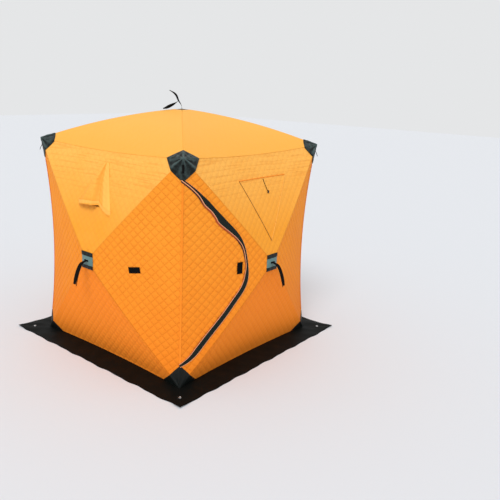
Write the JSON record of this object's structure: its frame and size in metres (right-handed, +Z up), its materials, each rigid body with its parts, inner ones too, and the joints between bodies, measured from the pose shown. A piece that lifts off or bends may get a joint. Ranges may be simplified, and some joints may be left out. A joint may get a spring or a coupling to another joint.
{
  "type": "ice fishing hut",
  "caption": "Square pop-up ice fishing hut of quilted cloth on sprung hubs, with a side-hinged zip door, vent hoods, window covers and a snow skirt.",
  "frame": {"origin": "centre of the hut's footprint, on the ground it stands on", "axes": "+Z up; the wall with the door faces -Y, and the door hinges on that wall's corner towards -X"},
  "size_m": [2.4242, 2.4242, 2.2526],
  "materials": {
    "roof_cloth": "matte",
    "wall_cloth": "matte",
    "patch_cloth": "satin",
    "zip_band": "matte",
    "skirt_cloth": "satin",
    "grommet_metal": "satin",
    "webbing": "matte",
    "pole_rod": "glossy",
    "hub_plastic": "matte"
  },
  "bodies": {
    "hut": {"back_bottom_panel": "wall_cloth", "back_hub_patch": "patch_cloth", "back_left_panel": "wall_cloth", "back_right_panel": "wall_cloth", "back_top_panel": "wall_cloth", "back_window_cover": "wall_cloth", "corner_loops": "webbing", "foot_patches": "patch_cloth", "front_bottom_panel": "wall_cloth", "front_hub_patch": "patch_cloth", "front_left_lower_panel": "wall_cloth", "front_left_upper_panel": "wall_cloth", "front_right_panel": "wall_cloth", "front_top_panel": "wall_cloth", "front_window_cover": "wall_cloth", "left_bottom_panel": "wall_cloth", "left_hub_patch": "patch_cloth", "left_left_panel": "wall_cloth", "left_right_panel": "wall_cloth", "left_top_panel": "wall_cloth", "left_vent_hood": "wall_cloth", "right_bottom_panel": "wall_cloth", "right_hub_patch": "patch_cloth", "right_left_panel": "wall_cloth", "right_right_panel": "wall_cloth", "right_top_panel": "wall_cloth", "right_vent_hood": "wall_cloth", "roof_back_panel": "roof_cloth", "roof_front_panel": "roof_cloth", "roof_hub": "hub_plastic", "roof_hub_patch": "patch_cloth", "roof_left_panel": "roof_cloth", "roof_poles": "pole_rod", "roof_right_panel": "roof_cloth", "roof_strap": "webbing", "skirt_back": "skirt_cloth", "skirt_front": "skirt_cloth", "skirt_grommets": "grommet_metal", "skirt_left": "skirt_cloth", "skirt_right": "skirt_cloth", "top_patch_back_left": "patch_cloth", "top_patch_front_right": "patch_cloth", "top_patch_left_front": "patch_cloth", "top_patch_right_back": "patch_cloth", "wall_hubs": "hub_plastic", "wall_poles": "pole_rod", "wall_straps": "webbing", "wall_tab": "webbing"},
    "door": {"door_flap": "wall_cloth", "door_zip_band": "zip_band", "door_tab": "webbing"}
  },
  "joints": [
    {"name": "door_hinge", "type": "hinge", "parent": "hut", "child": "door", "pos_m": [-0.8645, -0.8645, 0.9], "axis": [0, 0, -1], "range_deg": [0, 225]}
  ]
}
